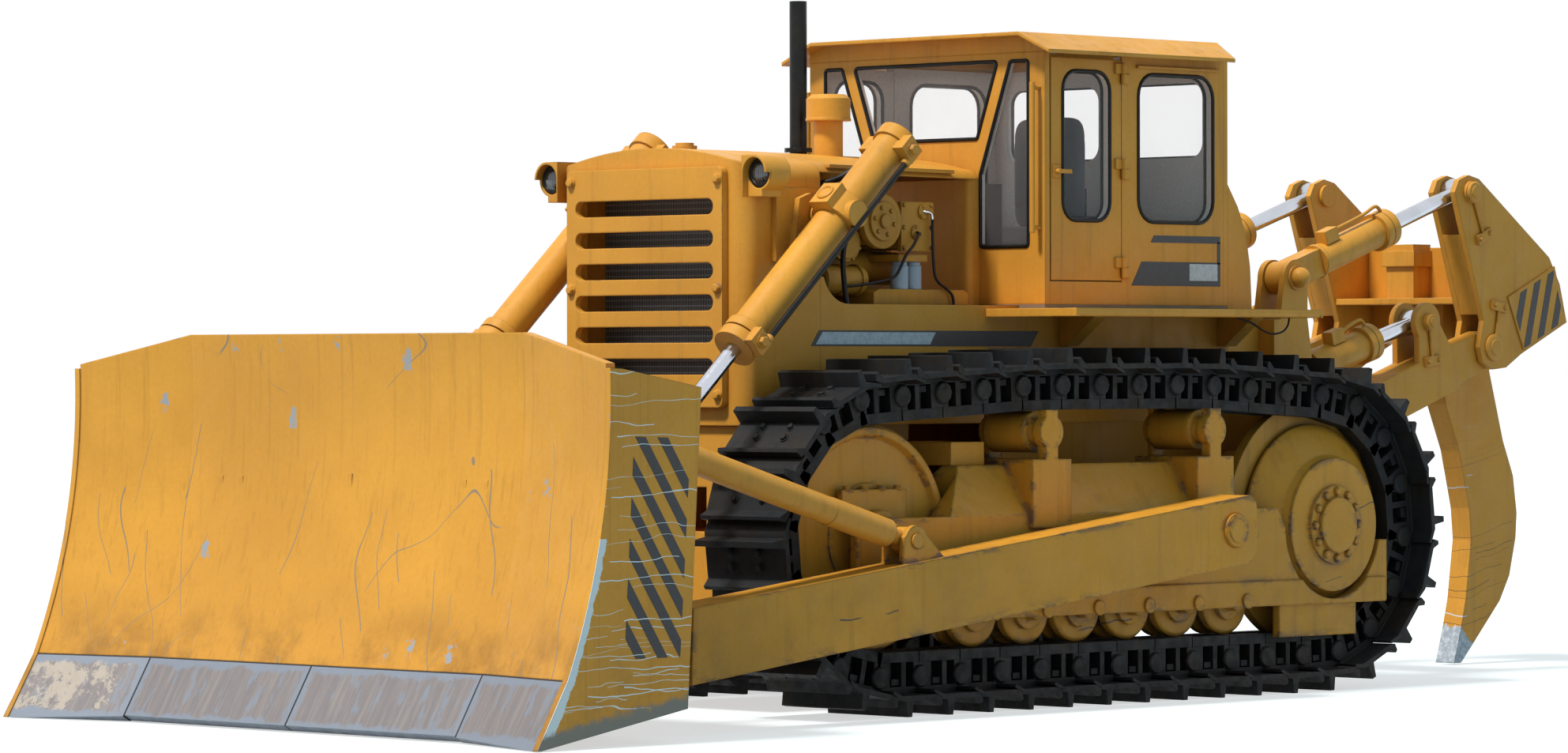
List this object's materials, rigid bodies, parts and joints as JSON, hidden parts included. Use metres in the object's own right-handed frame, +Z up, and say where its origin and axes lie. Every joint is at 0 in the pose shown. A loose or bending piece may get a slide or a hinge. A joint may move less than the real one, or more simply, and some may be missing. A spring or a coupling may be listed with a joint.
{
  "type": "bulldozer",
  "caption": "Crawler bulldozer with a lifting semi-U blade on push arms, an enclosed cab with hinged doors, and a rear ripper on a parallel linkage.",
  "frame": {"origin": "on the ground under the middle of the machine's overall length and width", "axes": "+X forward, +Y to the machine's left, +Z up"},
  "size_m": [10.5402, 4.3, 4.009],
  "materials": {
    "yellow_paint": "satin",
    "engine_paint": "satin",
    "filter_white": "satin",
    "black_paint": "matte",
    "dark_paint": "matte",
    "track_steel": "worn",
    "edge_steel": "worn",
    "rod_chrome": "polished",
    "cab_glass": "tinted",
    "lamp_lens": "clear",
    "seat_fabric": "matte",
    "dash_plastic": "matte"
  },
  "bodies": {
    "tractor": {"main_frame": "yellow_paint", "engine": "engine_paint", "oil_filters": "filter_white", "radiator_guard": "yellow_paint", "grille_door": "yellow_paint", "radiator_core": "black_paint", "hood": "yellow_paint", "cowl": "yellow_paint", "side_panels": "yellow_paint", "exhaust_stack": "black_paint", "air_cleaner": "yellow_paint", "lamp_visors": "yellow_paint", "headlamps": "lamp_lens", "fenders": "yellow_paint", "cab_floor": "dark_paint", "cab_front": "yellow_paint", "cab_sides": "yellow_paint", "cab_rear": "yellow_paint", "cab_roof": "yellow_paint", "glass_front": "cab_glass", "glass_sides": "cab_glass", "glass_rear": "cab_glass", "seat_base": "dark_paint", "seat_cushion": "seat_fabric", "controls": "dash_plastic", "fuel_tank": "yellow_paint", "track_frames": "yellow_paint", "tracks": "track_steel", "idlers": "yellow_paint", "sprockets": "track_steel", "final_drives": "yellow_paint", "track_rollers": "yellow_paint", "lift_brackets": "yellow_paint", "ripper_bracket": "yellow_paint"},
    "blade": {"moldboard": "yellow_paint", "cutting_edge": "edge_steel", "push_arms": "yellow_paint", "braces": "yellow_paint"},
    "lift_barrels": {"lift_barrels": "yellow_paint"},
    "lift_rods": {"lift_rods": "rod_chrome"},
    "door_left": {"door_left": "yellow_paint", "door_glass_left": "cab_glass"},
    "door_right": {"door_right": "yellow_paint", "door_glass_right": "cab_glass"},
    "ripper_link": {"ripper_link": "yellow_paint", "ripper_link_ends": "yellow_paint"},
    "ripper_pins": {"ripper_pins": "edge_steel"},
    "ripper_carriage": {"ripper_carriage": "yellow_paint", "ripper_plates": "yellow_paint", "ripper_shank": "yellow_paint"},
    "tilt_barrels": {"tilt_barrels": "yellow_paint"},
    "tilt_rods": {"tilt_rods": "rod_chrome"},
    "ripper_lift_barrels": {"ripper_lift_barrels": "yellow_paint"},
    "ripper_lift_rods": {"ripper_lift_rods": "rod_chrome"}
  },
  "joints": [
    {"name": "blade_lift", "type": "hinge", "parent": "tractor", "child": "blade", "pos_m": [-0.54509, 0, 0.977], "axis": [0, -1, 0], "range_deg": [-5.5, 12]},
    {"name": "lift_barrel_swing", "type": "hinge", "parent": "tractor", "child": "lift_barrels", "pos_m": [1.92191, 0, 2.75], "axis": [0, -1, 0], "range_deg": [-7.64, 16.43]},
    {"name": "lift_rod_stroke", "type": "slide", "parent": "lift_barrels", "child": "lift_rods", "axis": [0.7407, 0, -0.6718], "range_m": [-0.60802, 0.28084]},
    {"name": "door_left_hinge", "type": "hinge", "parent": "tractor", "child": "door_left", "pos_m": [-0.46009, 0.958, 3], "axis": [0, 0, 1], "range_deg": [0, 100]},
    {"name": "door_right_hinge", "type": "hinge", "parent": "tractor", "child": "door_right", "pos_m": [-0.46009, -0.958, 3], "axis": [0, 0, -1], "range_deg": [0, 100]},
    {"name": "ripper_lift", "type": "hinge", "parent": "tractor", "child": "ripper_link", "pos_m": [-2.55609, 0, 1.476], "axis": [0, 1, 0], "range_deg": [-30, 9]},
    {"name": "ripper_level", "type": "hinge", "parent": "ripper_link", "child": "ripper_pins", "pos_m": [-4.24609, 0, 2.026], "axis": [0, 1, 0], "range_deg": [-9.2, 30.2]},
    {"name": "ripper_tilt", "type": "hinge", "parent": "ripper_pins", "child": "ripper_carriage", "pos_m": [-4.24609, 0, 2.026], "axis": [0, 1, 0], "range_deg": [-10, 10]},
    {"name": "tilt_barrel_swing", "type": "hinge", "parent": "tractor", "child": "tilt_barrels", "pos_m": [-2.32709, 0, 2.445], "axis": [0, 1, 0], "range_deg": [-30.2, 9.2]},
    {"name": "tilt_rod_stroke", "type": "slide", "parent": "tilt_barrels", "child": "tilt_rods", "axis": [-0.9509, 0, 0.3095], "range_m": [-0.17719, 0.17719]},
    {"name": "ripper_barrel_swing", "type": "hinge", "parent": "tractor", "child": "ripper_lift_barrels", "pos_m": [-2.37309, 0, 1.85], "axis": [0, 1, 0], "range_deg": [-27, 8.24]},
    {"name": "ripper_rod_stroke", "type": "slide", "parent": "ripper_lift_barrels", "child": "ripper_lift_rods", "axis": [-0.9653, 0, 0.2611], "range_m": [-0.06372, 0.20307]}
  ],
  "couplings": [
    {"joint": "lift_barrel_swing", "follows": "blade_lift", "ratio": 1.3527},
    {"joint": "lift_rod_stroke", "follows": "blade_lift", "m_per_rad": -2.884},
    {"joint": "ripper_level", "follows": "ripper_lift", "ratio": -1},
    {"joint": "tilt_barrel_swing", "follows": "ripper_lift", "ratio": 1},
    {"joint": "tilt_rod_stroke", "follows": "ripper_tilt", "m_per_rad": -0.9923},
    {"joint": "ripper_barrel_swing", "follows": "ripper_lift", "ratio": 0.8933},
    {"joint": "ripper_rod_stroke", "follows": "ripper_lift", "m_per_rad": -0.3802}
  ]
}
